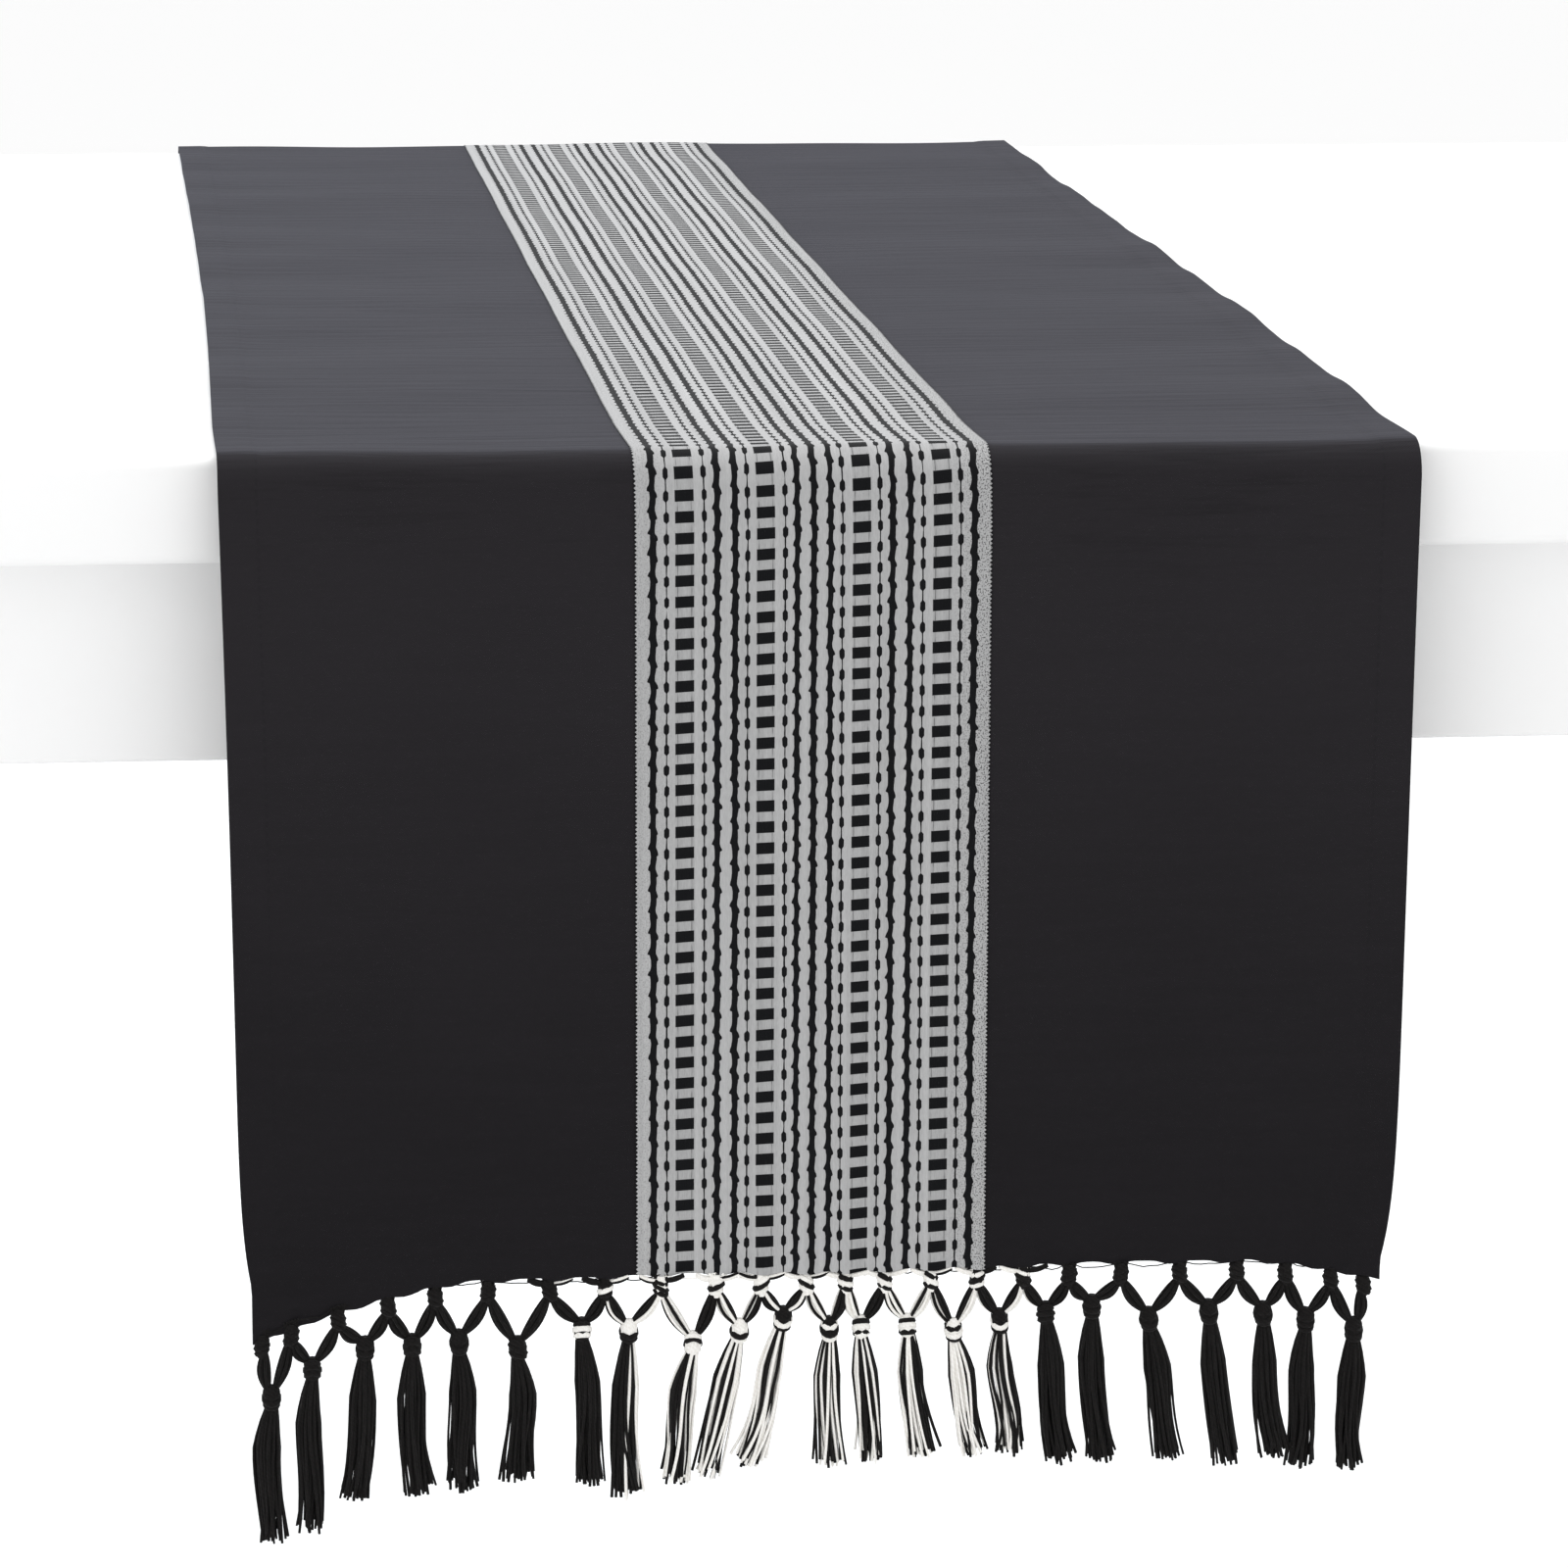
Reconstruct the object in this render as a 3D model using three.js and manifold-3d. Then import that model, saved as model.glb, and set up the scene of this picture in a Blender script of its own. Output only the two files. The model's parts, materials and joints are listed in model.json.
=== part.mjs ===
// A table runner lying on a table, with one end hanging in front and one behind.
// Each end is knotted and tasselled.
// Millimetres. +Z is up, +X runs across the runner, +Y along it towards the back.
// The origin is on the table top, under the middle of the runner.
import * as THREE from 'three';
import Module from 'manifold-3d';
import { mergeVertices } from 'three/addons/utils/BufferGeometryUtils.js';

// The table that the runner is draped over
const tableDepth = 1000;
const tableEdgeRadius = 8;

// The woven cloth
const runnerWidth = 406;
const bandWidth = 120;
const bandOffset = -3;
const clothThickness = 1;
const bandThickness = 1.4;
const hemWidth = 13;
const hemThickness = 1.5;
const seam = 0.3;
const hemClearance = 0.5;

// The two hanging ends. A corner's dip is how much lower the hem hangs there,
// over its span in from the side.
const front = {
  name: 'front', drop: 283, turn: 0, leftDip: 17, leftSpan: 72, rightDip: 6, rightSpan: 42,
};
const back = {
  name: 'back', drop: 202, turn: Math.PI, leftDip: 6, leftSpan: 50, rightDip: 6, rightSpan: 50,
};
const hemGather = 10;
const steadyGather = 0.35;
const gatherPower = 12;
const dipPower = 1.5;

// The fringe, from the left-hand side: how far each tassel is from the next, which is
// spread to fit the hem between its corner margins, how far each tassel's knot falls
// below the hem, how long its skirt is from the middle of the knot, and how far the
// skirt's end leans to the right.
const tasselGaps = [
  14, 18, 16, 16, 20, 22, 16, 22, 16, 15, 16, 11, 16, 16, 16, 16, 16, 20, 21, 19, 15, 17,
];
const tasselFalls = [
  24, 19, 17, 20, 21, 24, 18, 19, 24, 20, 16, 20, 20, 20, 22, 19, 17, 15, 20, 18, 19, 20, 21,
];
const skirtLengths = [
  50, 56, 52, 52, 52, 46, 54, 58, 49, 52, 53, 48, 47, 46, 44, 47, 53, 54, 50, 54, 51, 52, 49,
];
const skirtLeans = [
  -1, -1, -4, 2, 1, 0, 3, -1, -6, -12, -13, 1, 3, 5, 7, 4, 6, 4, 8, 7, 5, -1, -1,
];
const cornerMargin = 6;
const skirtRadius = 4.1;
const tasselKnotRadius = 3.3;
const tasselKnotHeight = 8;
const hemKnotWidth = 5.6;
const hemKnotHeight = 6.4;
const crossingWidth = 2.6;
const crossingHeight = 3;
const netThickness = 4;

const wasm = await Module();
wasm.setup();

const runner = new THREE.Group();
const blackCotton = { color: 0x26242a, roughness: 0.92, metalness: 0 };
const whiteCotton = { color: 0xc9c8c6, roughness: 0.88, metalness: 0 };

const halfWidth = runnerWidth / 2;
const halfDepth = tableDepth / 2;
const bandLeft = bandOffset - bandWidth / 2;
const bandRight = bandOffset + bandWidth / 2;

function toSolid(geometry) {
  const bare = geometry.clone();
  bare.deleteAttribute('normal');
  bare.deleteAttribute('uv');
  const merged = mergeVertices(bare, 1e-4);
  const vertProperties = Float32Array.from(merged.attributes.position.array);
  const triVerts = Uint32Array.from(merged.index.array);
  return new wasm.Manifold(new wasm.Mesh({ numProp: 3, vertProperties, triVerts }));
}

function joined(geometries) {
  const whole = geometries.map(toSolid).reduce((sum, solid) => sum.add(solid));
  const mesh = whole.getMesh();
  const geometry = new THREE.BufferGeometry();
  geometry.setAttribute('position', new THREE.BufferAttribute(mesh.vertProperties, 3));
  geometry.setIndex(new THREE.BufferAttribute(mesh.triVerts, 1));
  return geometry;
}

function addPiece(parent, name, geometry, yarn) {
  const mesh = new THREE.Mesh(geometry, new THREE.MeshStandardMaterial(yarn));
  mesh.name = name;
  parent.add(mesh);
  return mesh;
}

// The stretch on the table, with the rounded fold over each table edge

function foldedSection(thickness) {
  const r = tableEdgeRadius;
  const centreY = halfDepth - r;
  const section = new THREE.Shape();
  section.moveTo(-halfDepth, -r);
  section.absarc(-centreY, -r, r, Math.PI, Math.PI / 2, true);
  section.absarc(centreY, -r, r, Math.PI / 2, 0, true);
  section.lineTo(halfDepth + thickness, -r);
  section.absarc(centreY, -r, r + thickness, 0, Math.PI / 2, false);
  section.absarc(-centreY, -r, r + thickness, Math.PI / 2, Math.PI, false);
  return section;
}

function foldedStrip(fromX, toX, thickness) {
  const settings = { depth: toX - fromX, bevelEnabled: false, curveSegments: 5 };
  const strip = new THREE.ExtrudeGeometry(foldedSection(thickness), settings);
  const axes = [new THREE.Vector3(0, 1, 0), new THREE.Vector3(0, 0, 1), new THREE.Vector3(1, 0, 0)];
  strip.applyMatrix4(new THREE.Matrix4().makeBasis(...axes));
  return strip.translate(fromX, 0, 0);
}

function addTop() {
  const left = joined([
    foldedStrip(-halfWidth, -halfWidth + hemWidth, hemThickness),
    foldedStrip(-halfWidth + hemWidth, bandLeft - seam, clothThickness),
  ]);
  const right = joined([
    foldedStrip(bandRight + seam, halfWidth - hemWidth, clothThickness),
    foldedStrip(halfWidth - hemWidth, halfWidth, hemThickness),
  ]);
  addPiece(runner, 'top_ground_left', left, blackCotton);
  addPiece(runner, 'top_band', foldedStrip(bandLeft, bandRight, bandThickness), whiteCotton);
  addPiece(runner, 'top_ground_right', right, blackCotton);
}

// A hanging end. It is built facing the front, and the back one is turned half a turn about Z.

// How far the side edge is drawn in at a depth below the fold: a part of it steadily,
// and the rest near the hem
function gatherAt(end, depth) {
  const share = depth / end.drop;
  return hemGather * (steadyGather * share + (1 - steadyGather) * share ** gatherPower);
}

function hemHeight(end, x) {
  const edge = halfWidth - hemGather;
  const leftShare = Math.max(0, 1 - (x + edge) / end.leftSpan);
  const rightShare = Math.max(0, 1 - (edge - x) / end.rightSpan);
  const dip = end.leftDip * leftShare ** dipPower + end.rightDip * rightShare ** dipPower;
  return -end.drop - dip;
}

// One panel's outline between two edges, each given as its X at a depth below the fold
function panelOutline(end, leftEdge, rightEdge) {
  const sideSteps = 7;
  const hemSteps = 12;
  const crowding = 0.6;
  const top = tableEdgeRadius + seam;
  const depths = Array.from({ length: sideSteps }, (_, i) => (
    top + (end.drop - top) * (i / sideSteps) ** crowding
  ));
  const right = depths.map((depth) => new THREE.Vector2(rightEdge(depth), -depth));
  const left = depths.map((depth) => new THREE.Vector2(leftEdge(depth), -depth));
  const hemRight = rightEdge(end.drop);
  const hemLeft = leftEdge(end.drop);
  const hem = Array.from({ length: hemSteps + 1 }, (_, i) => {
    const x = hemRight + (hemLeft - hemRight) * (i / hemSteps);
    return new THREE.Vector2(x, hemHeight(end, x));
  });
  return [...right, ...hem, ...left.reverse()];
}

function hangingPanel(end, leftEdge, rightEdge, thickness) {
  const shape = new THREE.Shape(panelOutline(end, leftEdge, rightEdge));
  const panel = new THREE.ExtrudeGeometry(shape, { depth: thickness, bevelEnabled: false });
  return panel.rotateX(Math.PI / 2).translate(0, -halfDepth, 0);
}

function addDrop(end, group) {
  const bandCentre = end.turn ? -bandOffset : bandOffset;
  const bandStart = bandCentre - bandWidth / 2;
  const bandEnd = bandCentre + bandWidth / 2;
  const outerLeft = (depth) => -halfWidth + gatherAt(end, depth);
  const outerRight = (depth) => halfWidth - gatherAt(end, depth);
  const innerLeft = (depth) => outerLeft(depth) + hemWidth;
  const innerRight = (depth) => outerRight(depth) - hemWidth;
  const left = joined([
    hangingPanel(end, outerLeft, innerLeft, hemThickness),
    hangingPanel(end, innerLeft, () => bandStart - seam, clothThickness),
  ]);
  const right = joined([
    hangingPanel(end, () => bandEnd + seam, innerRight, clothThickness),
    hangingPanel(end, innerRight, outerRight, hemThickness),
  ]);
  const band = hangingPanel(end, () => bandStart, () => bandEnd, bandThickness);
  addPiece(group, `${end.name}_drop_ground_left`, left, blackCotton);
  addPiece(group, `${end.name}_drop_band`, band, whiteCotton);
  addPiece(group, `${end.name}_drop_ground_right`, right, blackCotton);
}

// The fringe: hem knots, the legs that cross below them, and a tassel where two legs meet

const fringeY = -halfDepth - clothThickness / 2;

function tasselPlaces(end) {
  const span = runnerWidth - 2 * (hemGather + cornerMargin);
  const spread = span / tasselGaps.reduce((sum, gap) => sum + gap, 0);
  const places = [];
  let x = -span / 2;
  for (let i = 0; i <= tasselGaps.length; i += 1) {
    places.push(new THREE.Vector3(x, fringeY, hemHeight(end, x) - tasselFalls[i]));
    x += spread * (tasselGaps[i] ?? 0);
  }
  return places;
}

// A hem knot is midway between two tassels, and the outermost ones are just in from the corners
function hemKnotPlaces(end, tassels) {
  const cornerInset = 3;
  const edge = halfWidth - hemGather - cornerInset;
  const between = tassels.slice(1).map((place, i) => (place.x + tassels[i].x) / 2);
  return [-edge, ...between, edge].map((x) => {
    const corners = [x - hemKnotWidth / 2, x + hemKnotWidth / 2];
    const lowest = Math.min(...corners.map((side) => hemHeight(end, side)));
    return new THREE.Vector2(x, lowest - hemClearance - hemKnotHeight / 2);
  });
}

// The net is one zigzag of yarn: down one leg to a crossing, up the next to a hem knot.
// Its upper edge goes round each knot and down into each crossing, and its lower edge
// comes back under them.
function netOutline(end, tassels) {
  const knots = hemKnotPlaces(end, tassels);
  const side = hemKnotWidth / 2;
  const crown = 0.7 * side;
  const rise = hemKnotHeight / 2;
  const foot = tasselKnotHeight / 2 + seam;
  const upper = [];
  const lower = [];
  knots.forEach((knot, i) => {
    const tassel = tassels[i];
    upper.push(new THREE.Vector2(knot.x - side, knot.y));
    upper.push(new THREE.Vector2(knot.x - crown, knot.y + rise));
    upper.push(new THREE.Vector2(knot.x + crown, knot.y + rise));
    upper.push(new THREE.Vector2(knot.x + side, knot.y));
    lower.push(new THREE.Vector2(knot.x, knot.y - rise));
    if (tassel) {
      upper.push(new THREE.Vector2(tassel.x, tassel.z + foot + crossingHeight));
      lower.push(new THREE.Vector2(tassel.x - crossingWidth / 2, tassel.z + foot));
      lower.push(new THREE.Vector2(tassel.x + crossingWidth / 2, tassel.z + foot));
    }
  });
  return [...upper, ...lower.reverse()];
}

function addNet(end, group, tassels) {
  const shape = new THREE.Shape(netOutline(end, tassels));
  const net = new THREE.ExtrudeGeometry(shape, { depth: netThickness, bevelEnabled: false });
  net.rotateX(Math.PI / 2).translate(0, fringeY + netThickness / 2, 0);
  addPiece(group, `${end.name}_fringe_net`, net, blackCotton);
}

function tasselProfile(length) {
  const top = tasselKnotHeight / 2;
  const neckRadius = 1.9;
  return [
    new THREE.Vector2(0, -length),
    new THREE.Vector2(skirtRadius, -length),
    new THREE.Vector2(0.95 * skirtRadius, -0.6 * length),
    new THREE.Vector2(0.75 * skirtRadius, -2.8 * top),
    new THREE.Vector2(neckRadius, -1.2 * top),
    new THREE.Vector2(0.8 * tasselKnotRadius, -0.7 * top),
    new THREE.Vector2(tasselKnotRadius, 0),
    new THREE.Vector2(0.75 * tasselKnotRadius, 0.7 * top),
    new THREE.Vector2(0, top),
  ];
}

function addTassels(end, group, tassels) {
  tassels.forEach((place, i) => {
    const length = skirtLengths[i];
    const geometry = new THREE.LatheGeometry(tasselProfile(length), 8).rotateX(Math.PI / 2);
    const yarn = Math.abs(place.x) < bandWidth / 2 ? whiteCotton : blackCotton;
    const number = String(i + 1).padStart(2, '0');
    const tassel = addPiece(group, `${end.name}_tassel_${number}`, geometry, yarn);
    tassel.position.copy(place);
    tassel.rotation.y = Math.asin(-skirtLeans[i] / length);
  });
}

function addEnd(end) {
  const group = new THREE.Group();
  group.rotation.z = end.turn;
  runner.add(group);
  const tassels = tasselPlaces(end);
  addDrop(end, group);
  addNet(end, group, tassels);
  addTassels(end, group, tassels);
}

addTop();
addEnd(front);
addEnd(back);

export default runner;
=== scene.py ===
import json
import math
import random

import bmesh
import bpy
import numpy as np
from mathutils import Matrix, Vector


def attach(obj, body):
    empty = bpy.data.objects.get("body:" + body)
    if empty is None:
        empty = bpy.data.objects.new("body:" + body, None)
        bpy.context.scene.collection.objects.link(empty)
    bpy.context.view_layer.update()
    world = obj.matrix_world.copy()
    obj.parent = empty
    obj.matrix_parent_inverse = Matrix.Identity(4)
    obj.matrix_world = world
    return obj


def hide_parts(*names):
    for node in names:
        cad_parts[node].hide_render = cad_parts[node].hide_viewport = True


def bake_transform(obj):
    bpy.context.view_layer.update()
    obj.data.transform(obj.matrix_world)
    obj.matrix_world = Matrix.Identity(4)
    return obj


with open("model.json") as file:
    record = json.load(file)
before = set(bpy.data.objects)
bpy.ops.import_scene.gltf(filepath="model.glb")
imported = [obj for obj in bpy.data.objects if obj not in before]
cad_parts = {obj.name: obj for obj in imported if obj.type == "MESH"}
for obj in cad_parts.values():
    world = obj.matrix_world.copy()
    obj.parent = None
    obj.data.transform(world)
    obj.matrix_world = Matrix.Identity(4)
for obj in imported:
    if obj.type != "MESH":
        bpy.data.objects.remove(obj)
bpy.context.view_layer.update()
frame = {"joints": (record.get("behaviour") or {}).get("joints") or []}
joints = {joint["name"]: joint for joint in frame["joints"]}
mm = 0.001

# The camera

camera = bpy.data.objects.new("camera", bpy.data.cameras.new("camera"))
bpy.context.scene.collection.objects.link(camera)
look = {
    "place": (-0.2263, -2.4505, 0.3044),
    "yaw": 6.263,
    "pitch": 11.977,
    "roll": 0.21,
    "lens": 136.96,
    "sensor": 36,
    "farthest": 200,
}
camera.data.sensor_width = look["sensor"]
camera.data.lens = look["lens"]
camera.data.clip_end = look["farthest"]
turn = Matrix.Rotation(-math.radians(look["yaw"]), 4, "Z")
turn = turn @ Matrix.Rotation(math.radians(90 - look["pitch"]), 4, "X")
turn = turn @ Matrix.Rotation(math.radians(look["roll"]), 4, "Z")
camera.matrix_world = Matrix.Translation(look["place"]) @ turn
bpy.context.scene.camera = camera

# Shader nodes, worked with as numbers


class Wire:
    def __init__(self, tree, socket=None):
        self.tree = tree
        self.socket = socket

    def node(self, kind, settings, inputs, output=0):
        made = self.tree.nodes.new(kind)
        for name, value in settings.items():
            setattr(made, name, value)
        for place, value in inputs.items():
            self.join(value, made.inputs[place])
        return Wire(self.tree, made.outputs[output])

    def join(self, value, target):
        if isinstance(value, Wire):
            self.tree.links.new(value.socket, target)
        else:
            target.default_value = value

    def maths(self, operation, *values):
        return self.node("ShaderNodeMath", {"operation": operation}, dict(enumerate(values)))

    def __add__(self, other):
        return self.maths("ADD", self, other)

    __radd__ = __add__

    def __sub__(self, other):
        return self.maths("SUBTRACT", self, other)

    def __rsub__(self, other):
        return self.maths("SUBTRACT", other, self)

    def __mul__(self, other):
        return self.maths("MULTIPLY", self, other)

    __rmul__ = __mul__

    def __truediv__(self, other):
        return self.maths("DIVIDE", self, other)

    def __abs__(self):
        return self.maths("ABSOLUTE", self)

    def wave(self, length):
        return self.maths("SINE", self * (2 * math.pi / length))

    def fraction(self):
        return self.maths("FRACT", self)

    def highest(self, other):
        return self.maths("MAXIMUM", self, other)

    def lowest(self, other):
        return self.maths("MINIMUM", self, other)

    def rise(self, low, high):
        # 0 below low and 1 above high, or the other way round where low is the larger
        span = {"Value": self, "From Min": low, "From Max": high}
        return self.node("ShaderNodeMapRange", {"interpolation_type": "SMOOTHSTEP"}, span)

    def blend(self, first, second):
        # first where this is 0, and second where it is 1
        inputs = {"Factor": self, 6: first, 7: second}
        return self.node("ShaderNodeMix", {"data_type": "RGBA"}, inputs, 2)

    def vector(self, x, y, z=0.0):
        return self.node("ShaderNodeCombineXYZ", {}, {"X": x, "Y": y, "Z": z})

    def noise(self, place, detail):
        inputs = {"Vector": place, "Scale": 1.0, "Detail": detail}
        return self.node("ShaderNodeTexNoise", {}, inputs, "Fac")

    def coordinate(self, place, axis):
        return self.node("ShaderNodeSeparateXYZ", {}, {"Vector": place}, axis)


def newMaterial(name):
    material = bpy.data.materials.new(name)
    material.use_nodes = True
    return material, Wire(material.node_tree)


def dress(material, wires, colour, roughness, height, depth, **fixed):
    surface = material.node_tree.nodes["Principled BSDF"]
    wires.join(colour, surface.inputs["Base Color"])
    wires.join(roughness, surface.inputs["Roughness"])
    inputs = {"Height": height, "Distance": depth, "Strength": 1.0}
    wires.join(wires.node("ShaderNodeBump", {}, inputs), surface.inputs["Normal"])
    for socket, value in fixed.items():
        surface.inputs[socket.replace("_", " ")].default_value = value


def grey(value):
    return (value, value, value, 1.0)


# The cloth's size and lie, in millimetres. Across is from the middle to the right.
# Along is from the middle of the table towards the front, over the fold and down to
# the hem, or below zero towards the back.

cloth = {
    "halfWidth": 203.0,
    "bandLeft": -63.0,
    "bandRight": 57.0,
    "fold": 10.0,
    "tableHalf": 500.0,
    "groundRise": 1.0,
    "bandRise": 1.35,
    "hemRise": 1.4,
    "hemWidth": 13.0,
    "thickness": 0.9,
}
ends = {
    "front": {
        "drop": 283.0, "turn": 0.0, "side": 1, "dips": ((17.0, 72.0), (6.0, 42.0)), "seed": 100,
    },
    "back": {
        "drop": 202.0, "turn": math.pi, "side": -1, "dips": ((6.0, 50.0), (6.0, 50.0)), "seed": 150,
    },
}
hemGather = 10.0
tasselCount = 23

# The hem knots: how far in from the gathered corner the first one is, half a knot's
# width, and how far its middle falls below the hem
knotMargin, knotHalf, knotFall = 3, 2.8, 3.7
flatLength = cloth["tableHalf"] - cloth["fold"]
foldLength = (cloth["fold"] + 0.5) * math.pi / 2
foldEnd = flatLength + foldLength

# The side edges' wander on the table, as how far along and how far across
leftWander = (
    (-500, -203.5), (-300, -201.8), (-170, -200.5), (95, -199.1),
    (230, -199.4), (430, -200.8), (500, -200.3),
)
rightWander = (
    (-500, 205.6), (-260, 203.9), (-140, 204.3), (80, 205.0),
    (180, 204.8), (320, 203.4), (430, 202.2), (500, 202.9),
)

# How much of the gather at the hem comes on slowly down the drop, and how much at the very end
leftGather, rightGather = (0.62, 0.38), (0.3, 0.48)


def gather(share, slow, late):
    return hemGather * (slow * share + late * share**14)


def hemDepth(end, x):
    # x is across as seen from that end
    edge = cloth["halfWidth"] - hemGather
    (leftDip, leftSpan), (rightDip, rightSpan) = end["dips"]
    left = max(0.0, 1 - (x + edge) / leftSpan)
    right = max(0.0, 1 - (edge - x) / rightSpan)
    return end["drop"] + leftDip * left**1.5 + rightDip * right**1.5


def tasselPlaces(name):
    # Where the tassels' knots are, as seen from that end
    places = []
    for number in range(1, tasselCount + 1):
        x, y, z = joints[f"{name}_tassel_{number:02d}_swing"]["pos_m"]
        places.append(Vector((x * ends[name]["side"], -abs(y), z)) / mm)
    return places


def hemKnotPlaces(name):
    places = tasselPlaces(name)
    between = [(a.x + b.x) / 2 for a, b in zip(places, places[1:])]
    edge = cloth["halfWidth"] - hemGather - knotMargin
    knots = []
    for x in [-edge, *between, edge]:
        lowest = min(-hemDepth(ends[name], x + way * knotHalf) for way in (-1, 1))
        knots.append(Vector((x, places[0].y, lowest - knotFall)))
    return knots


tassels = {name: tasselPlaces(name) for name in ends}
hemKnots = {name: hemKnotPlaces(name) for name in ends}


def edges(name, along):
    # Both side edges' places across, as seen from the front
    end = ends[name]
    if abs(along) <= foldEnd:
        left = np.interp(along, *zip(*leftWander))
        right = np.interp(along, *zip(*rightWander))
        return left, right
    share = min(1.0, (abs(along) - foldEnd) / (end["drop"] - cloth["fold"]))
    steadyLeft = leftWander[-1][1] if name == "front" else leftWander[0][1]
    steadyRight = rightWander[-1][1] if name == "front" else rightWander[0][1]
    settle = share**2
    left = steadyLeft + (-cloth["halfWidth"] - steadyLeft) * settle + gather(share, *leftGather)
    right = steadyRight + (cloth["halfWidth"] - steadyRight) * settle - gather(share, *rightGather)
    return left, right


# How far the band wanders sideways, as how far along and how far across
bandWander = ((-500, -0.2), (0, -1.1), (440, -1.4), (520, 0.4), (800, 0.6))


def crease(across, length):
    # The fold's slight unevenness
    wave = 1.4 + math.sin(across / 36 + 0.9) + 0.4 * math.sin(across / 15)
    return 0.42 * wave * math.exp(-(((length - flatLength - 8) / 30) ** 2))


def ripple(name, across, along):
    # How far the cloth stands off where it would lie flat
    half = cloth["halfWidth"]
    nearEdge = max(0.0, (abs(across) - 95) / (half - 95))
    depth = abs(along) - foldEnd
    if depth < 0:
        calm = min(1.0, (flatLength - abs(along)) / 90) if abs(along) < flatLength else 0.0
        slow = 0.5 + 0.5 * math.sin(along / 17 + 0.02 * across)
        quick = 0.5 + 0.5 * math.sin(along / 7.3 - 0.031 * across + 1.3)
        broad = 0.5 + 0.5 * math.sin(along / 31 + across / 75 + 0.8 * math.sin(across / 60))
        turned = 1.1 * math.sin(across / 37 + along / 120)
        wide = 0.5 + 0.5 * math.sin(along / 13.7 - across / 90 + turned)
        onBand = 1 - 0.65 * math.exp(-(((across + 3) / 85) ** 4))  # the band lies flatter
        lift = 0.9 * slow * nearEdge**1.6 + 0.2 * quick * nearEdge**2
        lift += (broad + 0.3 * wide) * onBand
        return max(0.0, calm) * lift + crease(across, abs(along))
    end = ends[name]
    share = min(1.0, depth / end["drop"])
    fromFront = across * end["side"]
    sway = math.sin(fromFront / 23 + 0.6) + 0.6 * math.sin(fromFront / 11.5 + 2.1)
    lift = 0.9 * share**1.5 * sway
    toHem = hemDepth(end, fromFront) - cloth["fold"] - depth
    pucker = sum(math.exp(-(((fromFront - knot.x) / 2.4) ** 2)) for knot in hemKnots[name])
    lift += 0.9 * pucker * math.exp(-max(0.0, toHem) / 9)
    curl = max(0.0, (abs(across) - half + 16) / 16)
    return lift + 1.1 * curl**2 * share + crease(across, abs(along))


def riseOf(across):
    toEdge = cloth["halfWidth"] - abs(across)
    hem = min(1.0, max(0.0, (cloth["hemWidth"] + 1.2 - toEdge) / 2.4))
    return cloth["groundRise"] + (cloth["hemRise"] - cloth["groundRise"]) * hem


def lay(name, across, along, rise):
    # The place of the cloth's outer face
    side = ends[name]["side"]
    left, right = edges(name, along)
    wander = np.interp(along, *zip(*bandWander))
    bandLeft, bandRight = cloth["bandLeft"] + wander, cloth["bandRight"] + wander
    if across < cloth["bandLeft"]:
        share = (across + cloth["halfWidth"]) / (cloth["bandLeft"] + cloth["halfWidth"])
        x = left + (bandLeft - left) * share
    elif across > cloth["bandRight"]:
        share = (across - cloth["bandRight"]) / (cloth["halfWidth"] - cloth["bandRight"])
        x = bandRight + (right - bandRight) * share
    else:
        x = across + wander
    lift = rise + ripple(name, across, along)
    length = abs(along)
    r = cloth["fold"]
    if length <= flatLength:
        return Vector((x, -along, lift)) * mm
    if length <= foldEnd:
        angle = (length - flatLength) / foldLength * math.pi / 2
        y = flatLength + (r + lift) * math.sin(angle)
        return Vector((x, -side * y, -r + (r + lift) * math.cos(angle))) * mm
    return Vector((x, -side * (cloth["tableHalf"] + lift), -r - (length - foldEnd))) * mm


def hemLine(name, across):
    # How far along the hem is, drawn up a little between the knots
    fromFront = across * ends[name]["side"]
    toKnot = min(abs(fromFront - knot.x) for knot in hemKnots[name])
    scallop = 0.9 * min(1.0, toKnot / 6) ** 2
    return foldEnd + hemDepth(ends[name], fromFront) - cloth["fold"] - scallop


topRows, foldRows = 120, 10


def rowAlong(name, row, rows, across):
    if row <= topRows:
        return flatLength * row / topRows
    if row <= topRows + foldRows:
        return flatLength + foldLength * (row - topRows) / foldRows
    share = (row - topRows - foldRows) / (rows - topRows - foldRows)
    return foldEnd + (hemLine(name, across) - foldEnd) * share


def clothPiece(name, part, fromAcross, toAcross, columns, material):
    side = ends[name]["side"]
    rows = topRows + foldRows + round((ends[name]["drop"] - cloth["fold"]) / 4)
    bm = bmesh.new()
    bmesh.ops.create_grid(bm, x_segments=columns, y_segments=rows, size=0.5)
    spots = {}
    for vert in bm.verts:
        across = fromAcross + (toAcross - fromAcross) * (vert.co.x + 0.5)
        row = round((vert.co.y + 0.5) * rows)
        along = side * rowAlong(name, row, rows, across)
        spots[vert.index] = (across, along)
        rise = cloth["bandRise"] if part == "band" else riseOf(across)
        vert.co = lay(name, across, along, rise)
    layer = bm.loops.layers.uv.new("weave")
    for face in bm.faces:
        for loop in face.loops:
            loop[layer].uv = spots[loop.vert.index]
    bmesh.ops.recalc_face_normals(bm, faces=bm.faces)
    middle = min(bm.faces, key=lambda face: abs(face.calc_center_median().y))
    if middle.normal.z < 0:
        bmesh.ops.reverse_faces(bm, faces=bm.faces)
    piece = makeObject(f"{name}_{part}", bm, [material])
    thicken = piece.modifiers.new("thickness", "SOLIDIFY")
    thicken.thickness = cloth["thickness"] * mm
    thicken.offset = -1
    settleMesh(piece)
    piece.data.set_sharp_from_angle(angle=math.radians(50))
    return piece


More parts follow.
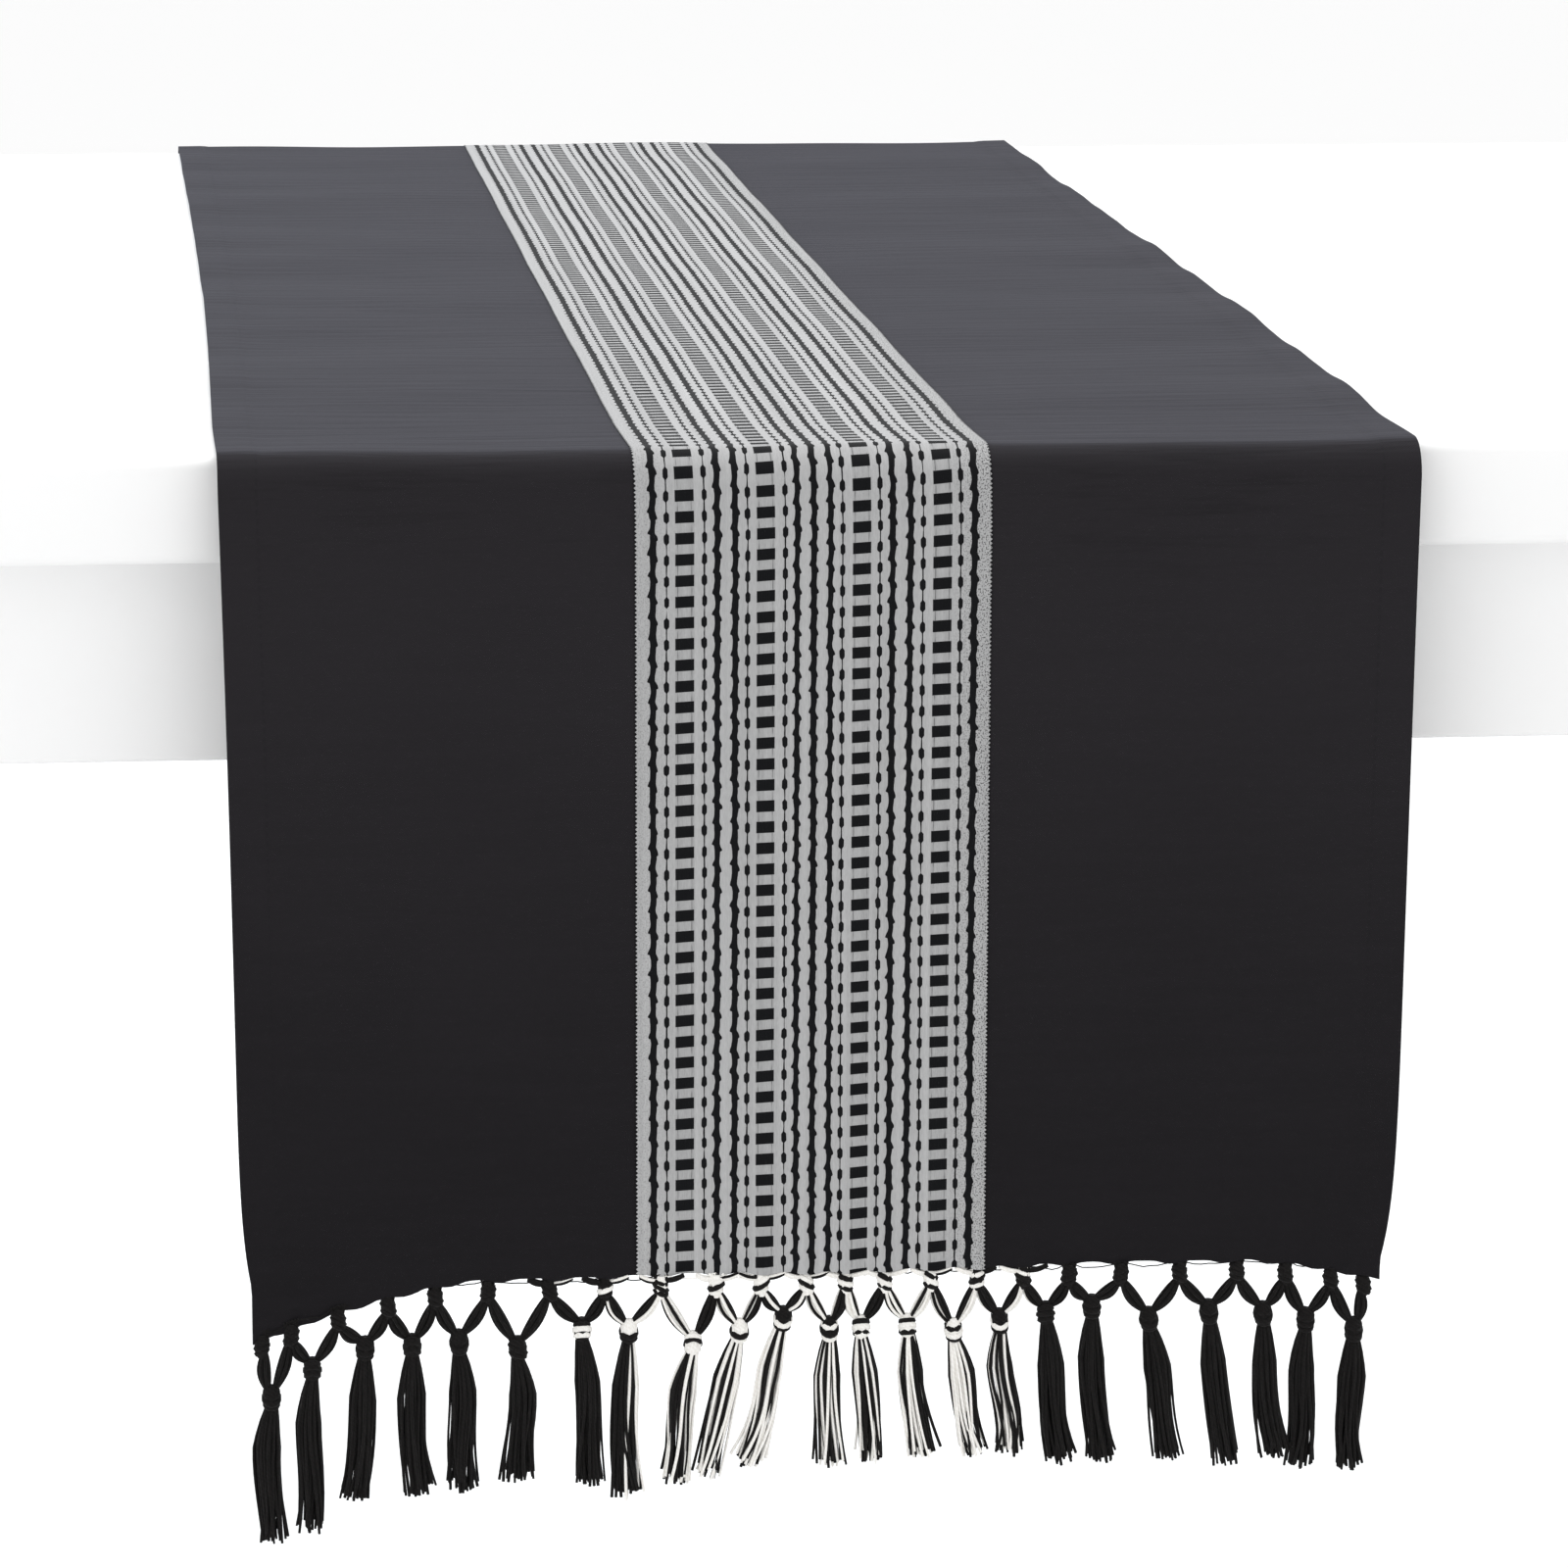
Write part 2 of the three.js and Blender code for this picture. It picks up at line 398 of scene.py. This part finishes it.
def makeObject(name, bm, materials):
    mesh = bpy.data.meshes.new(name)
    bm.to_mesh(mesh)
    bm.free()
    for material in materials:
        mesh.materials.append(material)
    mesh.shade_smooth()
    piece = bpy.data.objects.new(name, mesh)
    bpy.context.scene.collection.objects.link(piece)
    return piece


def settleMesh(piece):
    # The modifiers' result becomes the piece's own mesh
    graph = bpy.context.evaluated_depsgraph_get()
    mesh = bpy.data.meshes.new_from_object(piece.evaluated_get(graph), depsgraph=graph)
    piece.modifiers.clear()
    piece.data = mesh
    mesh.name = piece.name


# The black ground: a plain weave with slubs along the weft, a stitched hem at each side, and painted
# shade that darkens down the drop

ground = {
    "warp": 0.9,
    "weft": 0.8,
    "stitchPlace": 190.2,
    "stitchPitch": 3.2,
    "stitchThread": (0.006, 0.006, 0.007, 1),
    "darkest": (0.0015, 0.0011, 0.0016, 1),
    "lightest": (0.0155, 0.0139, 0.0161, 1),
    "brightness": 1.05,
    "middleShade": 0.45,
    "dropEvenness": 0.75,
    # how strongly the painted shade darkens the drop towards the hem
    "dropPaintedShade": 0.6,
    "bumpDepth": 0.0001,
}
groundCotton, wires = newMaterial("black_ground_cotton")
place = wires.node("ShaderNodeUVMap", {"uv_map": "weave"}, {}, "UV")
across, along = (wires.coordinate(place, axis) for axis in "XY")
slubs = wires.noise(wires.vector(across * 0.05, along * 0.9), 3.0)
patches = wires.noise(wires.vector(across * 0.012, along * 0.012), 2.0)
weave = across.wave(ground["warp"]) * along.wave(ground["weft"])
stitchLine = abs(abs(across) - ground["stitchPlace"]).rise(0.7, 0.2)
stitch = stitchLine * (along / ground["stitchPitch"]).fraction().rise(0.75, 0.6)
streaks = wires.noise(wires.vector(across * 0.014, along * 0.16), 3.0)
calm = 1.0 - abs(along).rise(490, 560) * ground["dropEvenness"]  # its weight pulls it straight
shade = slubs.rise(0.3, 0.75) * 0.3 + streaks.rise(0.35, 0.68) * 0.35
shade = shade + patches.rise(0.25, 0.75) * 0.3
shade = (shade - ground["middleShade"]) * calm + ground["brightness"]
# Painted shade: the colour darkens down the drop, from just below the fold to the hem
shade = shade - abs(along).rise(500, 790) * ground["dropPaintedShade"]
colour = shade.highest(0.0).lowest(1.0).blend(ground["darkest"], ground["lightest"])
colour = (stitch * 0.2).blend(colour, ground["stitchThread"])
height = ((slubs - 0.5) * 1.4 + (streaks - 0.5) * 7.0) * calm + weave * 0.3 - stitch * 0.5
roughness = 0.72 + slubs * 0.1 + streaks * 0.16
dress(
    groundCotton, wires, colour, roughness, height, ground["bumpDepth"],
    Specular_IOR_Level=0.13, Sheen_Weight=0.088, Sheen_Roughness=0.45, Sheen_Tint=(0.76, 0.79, 1.0, 1),
)

# The band: white warp with wavy and beaded lines, ladders of black squares and serrated edges

bandCotton, wires = newMaterial("woven_band_cotton")
place = wires.node("ShaderNodeUVMap", {"uv_map": "weave"}, {}, "UV")
across, along = (wires.coordinate(place, axis) for axis in "XY")
pattern = {
    "middle": -3.0,
    "half": 60.0,
    "pitch": 7.2,
    "skew": 0.053,
    "phase": 0.39,
    "wavy": ((54.0, 2.1), (32.4, 1.95), (26.4, 1.95), (5.6, 1.75), (0.0, 2.0)),
    "beads": (49.4, 36.7, 22.2, 9.6),
    "ladders": ((43.3, 3.15), (16.1, 3.05)),
    "black": (0.0028, 0.0031, 0.004, 1),
    "bumpDepth": 0.00022,
}
fromMiddle = across - pattern["middle"]
drift = wires.noise(wires.vector(across * 0.012, along * 0.011), 1.0) - 0.5
row = (along + across * pattern["skew"] + drift * 2.4) / pattern["pitch"]
row = row + (0.5 - pattern["phase"])
phase = row.fraction() - 0.5
jitter = wires.noise(wires.vector(across * 0.6, along * 0.16), 2.0)
threads = wires.noise(wires.vector(across * 1.9, along * 0.35), 2.0)
grain = wires.noise(wires.vector(across * 2.1, along * 1.7), 1.0)
meander = (row + 0.15).wave(1.0) * 0.12 + (jitter - 0.5) * 1.1


def tooth(start, low, high):
    # One step in each row, slow on one side and steep on the other
    place = (row - start).fraction() - 0.5
    return place.rise(low, high) + place.rise(-0.42, -0.5)


leftTooth, rightTooth = tooth(0.18, 0.18, 0.5), tooth(0.5, 0.12, 0.46)
wavyPlace = fromMiddle + meander
straight = abs(fromMiddle + (jitter - 0.5) * 0.25)
onRow = abs(phase)
dark = None
for centre, width in pattern["wavy"]:
    for place in sorted({centre, -centre}):
        left = wavyPlace - (place - width / 2) + leftTooth * 0.6
        right = (place + width / 2) - wavyPlace + rightTooth * 0.55
        line = left.lowest(right).rise(-0.05, 0.05)
        dark = line if dark is None else dark.highest(line)
beadWidth = onRow.rise(0.3, 0.14) * 0.68 + 0.2 + (jitter - 0.5) * 0.6
for centre in pattern["beads"]:
    dark = dark.highest((abs(straight - centre) - beadWidth).rise(0.05, -0.05))
between = None
for centre, half in pattern["ladders"]:
    column = abs(abs(fromMiddle) - centre)
    inColumn = column.rise(half + 0.1, half - 0.1)
    square = inColumn * onRow.rise(0.278, 0.262)
    dark = dark.highest(square)
    rung = inColumn * (1 - square)
    between = rung if between is None else between + rung
    hairline = abs(column - 2.35).rise(0.3, 0.05) * rung * jitter.rise(0.35, 0.6) * 0.5
    dark = dark.highest(hairline)
fromEdge = pattern["half"] - abs(fromMiddle)
serration = abs((along / 1.45).fraction() - 0.5) * 1.5 + jitter * 0.3 - 0.2
dark = dark.highest((fromEdge - serration).rise(0.1, -0.1))
reach = across.rise(-30, 30) * 0.62 + 0.3
speckle = grain.rise(0.52, 0.64) * fromEdge.rise(17.0, 1.0) * (1 - dark) * reach
strips = wires.noise(wires.vector(abs(fromMiddle) * 0.45, along * 0.004), 1.0)
light = strips * 0.12 + threads * 0.12 + 0.262 - between * 0.04
white = wires.node("ShaderNodeCombineColor", {}, {0: light, 1: light * 1.003, 2: light * 1.01})
white = speckle.blend(white, grey(0.07))
colour = dark.blend(white, pattern["black"])
ribs = across.wave(0.8) * 0.06
height = (1 - dark) + threads * 0.22 + ribs - speckle * 0.3 - between * 0.25
dress(
    bandCotton, wires, colour, 0.85 - dark * 0.05, height, pattern["bumpDepth"],
    Specular_IOR_Level=0.12, Sheen_Weight=0.04, Sheen_Roughness=0.5,
)

# The fringe's yarns: soft twisted cotton, black and natural white


def yarnMaterial(name, darkest, lightest):
    material, wires = newMaterial(name)
    place = wires.node("ShaderNodeTexCoord", {}, {}, "Object")
    x, y, z = (wires.coordinate(place, axis) for axis in "XYZ")
    fibres = wires.noise(wires.vector(x * 2600, y * 2600, z * 260), 2.0)
    ply = (z + x * 0.8 + y * 0.5).wave(0.0016)
    shade = (fibres.rise(0.3, 0.72) * 0.7 + ply * 0.15 + 0.15).lowest(1.0).highest(0.0)
    colour = shade.blend(darkest, lightest)
    height = ply * 0.5 + fibres
    dress(
        material, wires, colour, 0.82 + fibres * 0.12, height, 0.00006,
        Specular_IOR_Level=0.16, Sheen_Weight=0.04, Sheen_Roughness=0.5,
    )
    return material


yarnColours = {
    "black_fringe_yarn": ((0.0028, 0.0024, 0.0024, 1), (0.0105, 0.0092, 0.009, 1)),
    "white_fringe_yarn": ((0.8, 0.775, 0.73, 1), (0.95, 0.94, 0.915, 1)),
}
yarns = [yarnMaterial(name, *colours) for name, colours in yarnColours.items()]

print("cloth")

# The cloth, in strips that meet at the band's edges and at the middle of the table

clothPieces = {}
strips = {
    "ground_left": (-cloth["halfWidth"], cloth["bandLeft"], 56, groundCotton),
    "band": (cloth["bandLeft"], cloth["bandRight"], 80, bandCotton),
    "ground_right": (cloth["bandRight"], cloth["halfWidth"], 58, groundCotton),
}
for name in ends:
    for part, (fromAcross, toAcross, columns, material) in strips.items():
        clothPieces[name, part] = clothPiece(name, part, fromAcross, toAcross, columns, material)

print("fringe")

# The fringe, made facing the front and turned round for the back. A strand is a line
# of points with its thickness.

fringe = {
    "strand": 0.5,
    "lean": (-1, -1, -4, 2, 1, 0, 3, -1, -6, -12, -13, 1, 3, 5, 7, 4, 6, 4, 8, 7, 5, -1, -1),
    "length": (
        50, 56, 52, 52, 52, 46, 54, 58, 49, 52, 53, 48,
        47, 46, 44, 47, 53, 54, 50, 54, 51, 52, 49,
    ),
    "whiteShare": (
        0, 0, 0, 0, 0, 0, 0.1, 0.15, 0.45, 0.5, 0.42, 0.45,
        0.65, 0.5, 0.5, 0.5, 0, 0, 0, 0, 0, 0, 0,
    ),
    "mixedFrom": 0.3,
    "yarnChange": 0.55,
    "netSeed": 7,
    "hemKnot": (5.9, 8.0),
    "tasselKnot": (7.2, 9.0),
    "neck": 6,
    "legStrands": 12,
    "legWidth": 5.2,
    "skirtStrands": 40,
}


def strandObject(name, strands, turnBy):
    curve = bpy.data.curves.new(name, "CURVE")
    curve.dimensions = "3D"
    curve.bevel_depth = fringe["strand"] * mm
    curve.bevel_resolution = 1
    curve.use_fill_caps = True
    for yarn in yarns:
        curve.materials.append(yarn)
    for strand in strands:
        spline = curve.splines.new("POLY")
        spline.points.add(len(strand["points"]) - 1)
        for point, spot, radius in zip(spline.points, strand["points"], strand["radii"]):
            point.co = (*(spot * mm), 1.0)
            point.radius = radius
        spline.use_cyclic_u = strand["closed"]
        spline.use_smooth = True
        spline.material_index = strand["yarn"]
    source = bpy.data.objects.new(name + "_lines", curve)
    bpy.context.scene.collection.objects.link(source)
    graph = bpy.context.evaluated_depsgraph_get()
    mesh = bpy.data.meshes.new_from_object(source.evaluated_get(graph), depsgraph=graph)
    bpy.data.objects.remove(source)
    mesh.name = name
    mesh.transform(Matrix.Rotation(turnBy, 4, "Z"))
    piece = bpy.data.objects.new(name, mesh)
    bpy.context.scene.collection.objects.link(piece)
    return piece


def strand(points, radii, yarn, closed=False):
    return {"points": points, "radii": radii, "yarn": yarn, "closed": closed}


def pickYarn(chance, share):
    return 1 if chance.random() < share else 0


def knot(centre, size, share, chance, axis=None):
    # A few full turns of yarn round a plump middle, each a little askew
    width, height = size
    upright = (axis or Vector((0, 0, 1))).to_track_quat("Z", "Y").to_matrix()
    core, coreRadii = [], []
    for i in range(9):
        level = i / 8 * 2 - 1
        core.append(centre + upright @ Vector((0, 0, level * height / 2)))
        plump = math.sqrt(max(0.0, 1 - abs(level) ** 2.2))
        coreRadii.append(max(1.5, width * 0.44 * plump) / fringe["strand"])
    made = [strand(core, coreRadii, pickYarn(chance, share))]
    slant = chance.choice((-1, 1)) * chance.uniform(0.45, 0.8)
    first = pickYarn(chance, 0.5)
    for number, level in enumerate((-0.46, 0.0, 0.46)):
        plump = math.sqrt(max(0.0, 1 - abs(level) ** 2))
        reach = width * 0.47 * plump - 0.75
        tilt = slant + chance.uniform(-0.2, 0.2)
        yarn = (first + number) % 2 if 0.3 < share < 0.9 else pickYarn(chance, share)
        radius = chance.uniform(1.9, 2.4)
        points = []
        for i in range(14):
            angle = i / 14 * 2 * math.pi
            x, y = reach * math.cos(angle), 0.92 * reach * math.sin(angle)
            spot = Vector((x, y, level * height * 0.46))
            spot.z += tilt * x * (1 - 0.6 * abs(level))
            points.append(centre + upright @ spot)
        made.append(strand(points, [radius] * 14, yarn, True))
    return made


def bundle(start, finish, width, share, chance, count, bow):
    # Yarns lying together from start to finish, widest a little before the middle
    made = []
    path = finish - start
    aside = Vector((path.z, 0, -path.x)).normalized()
    steps = 9
    yarn = pickYarn(chance, share)
    for i in range(count):
        place = (i + 0.5) / count * 2 - 1
        depth = math.cos(i * 2.4) * math.sqrt(max(0.0, 1 - place * place))
        if chance.random() < fringe["yarnChange"]:
            yarn = pickYarn(chance, share)
        thick = chance.uniform(1.0, 1.3)
        points = []
        for k in range(steps + 1):
            t = k / steps
            plump = math.sin(math.pi * min(1.0, 0.1 + 0.84 * t)) ** 0.8
            spot = start + path * t
            spot += aside * (place * (width / 2 - 0.5) * plump + bow * math.sin(math.pi * t))
            spot.y += depth * width * 0.32 * plump
            points.append(spot)
        made.append(strand(points, [thick] * len(points), yarn))
    return made


def feeders(name, place, share, chance):
    # The warp ends of a knot, straight out of the hem, and on the band also gathered from both sides
    made = []
    end = ends[name]
    count = fringe["neck"]
    for i in range(count):
        reach = (i - (count - 1) / 2) * 0.95
        x = max(-191.5, min(191.5, place.x + reach))
        hem = Vector((x, -cloth["tableHalf"] - 0.6, -hemDepth(end, x) + 0.9))
        foot = place + Vector((reach * 0.55, 0, 1.5))
        points = [hem.lerp(foot, k / 4) for k in range(5)]
        made.append(strand(points, [0.8, 0.9, 1.15, 1.3, 1.3], pickYarn(chance, share)))
    if share:
        for way in (-1, 1):
            x = place.x + way * chance.uniform(6.5, 8.5)
            hem = Vector((x, -cloth["tableHalf"] - 0.7, -hemDepth(end, x) + 0.5))
            foot = place + Vector((way * 0.8, 0, 2.4))
            made += bundle(hem, foot, 2.4, min(1.0, share + 0.2), chance, 5, -0.5 * way)
    return made


def looseThread(name, first, second, share, chance):
    end = ends[name]
    points = []
    for k in range(9):
        t = k / 8
        x = first.x + (second.x - first.x) * t
        sag = 1.9 * math.sin(math.pi * t) + 0.3 * math.sin(9 * t + first.x)
        z = -hemDepth(end, x) + 0.8 - sag * chance.uniform(0.7, 1.0)
        points.append(Vector((x, first.y - 0.3, z)))
    return [strand(points, [0.45] * 9, pickYarn(chance, share))]


def netStrands(name, chance):
    made = []
    tasselSpots, knots = tassels[name], hemKnots[name]
    shares = fringe["whiteShare"]
    for i, place in enumerate(knots):
        near = [shares[j] for j in (i - 1, i) if 0 <= j < len(shares)]
        share = sum(near) / len(near)
        made += feeders(name, place, share, chance)
        made += knot(place, fringe["hemKnot"], share, chance)
        for j in (i - 1, i):
            if 0 <= j < len(tasselSpots):
                way = 1 if j == i else -1
                foot = place + Vector((way * 0.9, 0, -2.6))
                top = tasselSpots[j] + Vector((-way * 1.3, 0, 3.0))
                legShare = (share + shares[j]) / 2
                made += bundle(
                    foot, top, fringe["legWidth"], legShare, chance, fringe["legStrands"], 0.7 * way,
                )
        if i:
            made += looseThread(name, knots[i - 1], place, share, chance)
    return made


def skirt(place, number, chance):
    # The loose ends under a tassel's knot, full from a third of the way down
    length, lean = fringe["length"][number], fringe["lean"][number]
    share = fringe["whiteShare"][number]
    down = Vector((lean, 0, -math.sqrt(length**2 - lean**2))) / length
    aside = Vector((-down.z, 0, down.x))
    made = []
    count, steps = fringe["skirtStrands"], 10
    sway, swing = chance.uniform(-1.8, 1.8), chance.uniform(-0.9, 0.9)
    full = chance.uniform(2.3, 2.9)
    offsets = []
    for i in range(count):
        reach = math.sqrt((i + 0.5) / count)
        offsets.append((reach * math.cos(i * 2.39996), reach * math.sin(i * 2.39996)))
    run = pickYarn(chance, share)
    for offX, offY in sorted(offsets):
        if chance.random() < 0.75:
            run = pickYarn(chance, share)
        splay = max(-0.7, min(0.7, chance.gauss(0, 0.4)))
        if chance.random() < 0.12:
            splay *= 1.6
        wander = chance.uniform(0, 6.28)
        cut = length + chance.uniform(-3.5, 1.5) - 3
        thick = chance.uniform(0.95, 1.35)
        points = []
        for k in range(steps + 1):
            t = k / steps
            spread = 1.9 + full * min(1.0, t / 0.3) ** 0.8 - 0.3 * t
            spot = place + down * (3.2 + cut * t)
            shift = offX * spread + splay * 3.2 * t**3
            shift += (0.15 + 0.35 * t) * math.sin(wander + 4 * t)
            spot += aside * shift
            spot += aside * (sway * math.sin(math.pi * t) + swing * math.sin(2 * math.pi * t))
            spot.y += offY * min(spread, 3.6) * 0.85 + 0.2 * math.sin(wander * 2 + 5 * t)
            points.append(spot)
        radii = [thick * (1 - 0.15 * k / steps) for k in range(steps + 1)]
        made.append(strand(points, radii, run))
    return made


def tasselStrands(name, number, chance):
    place = tassels[name][number]
    share = fringe["whiteShare"][number]
    length, lean = fringe["length"][number], fringe["lean"][number]
    knotShare = min(1.0, share + 0.15) if share else 0
    axis = Vector((-lean * 0.5, 0, length)).normalized()
    made = knot(place, fringe["tasselKnot"], knotShare, chance, axis)
    return made + skirt(place, number, chance)


fringePieces = {name: [] for name in ends}
for name, end in ends.items():
    chance = random.Random(fringe["netSeed"])
    net = strandObject(f"{name}_net", netStrands(name, chance), end["turn"])
    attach(net, f"{name}_drop")
    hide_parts(f"{name}_fringe_net")
    fringePieces[name].append(net)
    for number in range(tasselCount):
        label = f"{name}_tassel_{number + 1:02d}"
        chance = random.Random(end["seed"] + number)
        piece = strandObject(label + "_yarn", tasselStrands(name, number, chance), end["turn"])
        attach(piece, label)
        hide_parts(label)
        fringePieces[name].append(piece)

for (name, part), piece in clothPieces.items():
    side = ends[name]["side"]
    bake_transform(piece)
    shown = [f"{name}_drop_{part}"] + ([f"top_{part}"] if name == "front" else [])
    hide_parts(*shown)
    "band_cotton" if part == "band" else "black_cotton"
    width = strips[part][1] - strips[part][0]
    length = foldEnd + ends[name]["drop"] - cloth["fold"]
    hanging = fringePieces[name] if part == "band" else []
    width * mm
    length * mm

print("surroundings")


def plainMaterial(name, value):
    material = newMaterial(name)[0]
    surface = material.node_tree.nodes["Principled BSDF"]
    surface.inputs["Base Color"].default_value = grey(value)
    surface.inputs["Roughness"].default_value = 0.8
    surface.inputs["Specular IOR Level"].default_value = 0.1
    return material


def block(name, size, centre, rounding, material):
    bm = bmesh.new()
    bmesh.ops.create_cube(bm, size=1)
    bmesh.ops.scale(bm, vec=size, verts=bm.verts)
    bmesh.ops.translate(bm, vec=centre, verts=bm.verts)
    bmesh.ops.bevel(
        bm, geom=bm.edges[:], offset=rounding, offset_type="OFFSET",
        affect="EDGES", segments=6, profile=0.5, material=-1,
    )
    piece = makeObject(name, bm, [material])
    piece.data.set_sharp_from_angle(angle=math.radians(35))


paleFloor = plainMaterial("pale_floor", 0.97)
paleStand = plainMaterial("pale_stand", 0.9)
bm = bmesh.new()
bmesh.ops.create_grid(bm, x_segments=1, y_segments=1, size=60)
bmesh.ops.translate(bm, vec=(0, 0, -0.74), verts=bm.verts)
makeObject("floor", bm, [paleFloor])
stand = {"top": (1.6, 0.974, 0.036), "rail": (1.5, 0.022, 0.072), "leg": (0.03, 0.9, 0.7)}
block("stand_top", stand["top"], (0, 0, -0.0185), 0.004, paleStand)
for side, where in ((-1, "front"), (1, "back")):
    block(f"stand_rail_{where}", stand["rail"], (0, 0.455 * side, -0.0715), 0.002, paleStand)
for side, where in ((-1, "left"), (1, "right")):
    block(f"stand_leg_{where}", stand["leg"], (0.76 * side, 0, -0.389), 0.002, paleStand)

world = bpy.data.worlds.new("studio")
world.use_nodes = True
background = world.node_tree.nodes["Background"]
background.inputs["Color"].default_value = grey(1)
background.inputs["Strength"].default_value = 1.0
bpy.context.scene.world = world


def softbox(name, place, target, size, power, tint=(1, 1, 1)):
    lamp = bpy.data.objects.new(name, bpy.data.lights.new(name, "AREA"))
    lamp.data.shape = "RECTANGLE"
    lamp.data.size, lamp.data.size_y = size
    lamp.data.energy = power
    lamp.data.color = tint
    lamp.location = place
    aim = Vector(target) - Vector(place)
    lamp.rotation_euler = aim.to_track_quat("-Z", "Y").to_euler()
    bpy.context.scene.collection.objects.link(lamp)


softbox("overhead", (0, 0.3, 2.4), (0, 0, 0), (3.0, 2.4), 47)
softbox("key", (-1.8, -2.2, 1.7), (0, -0.4, -0.2), (1.4, 1.4), 5)
softbox("window", (-1.7, 2.3, 1.0), (-0.1, 0.2, 0), (1.4, 1.1), 26, (0.78, 0.88, 1.0))
bpy.context.scene.view_settings.view_transform = "Standard"
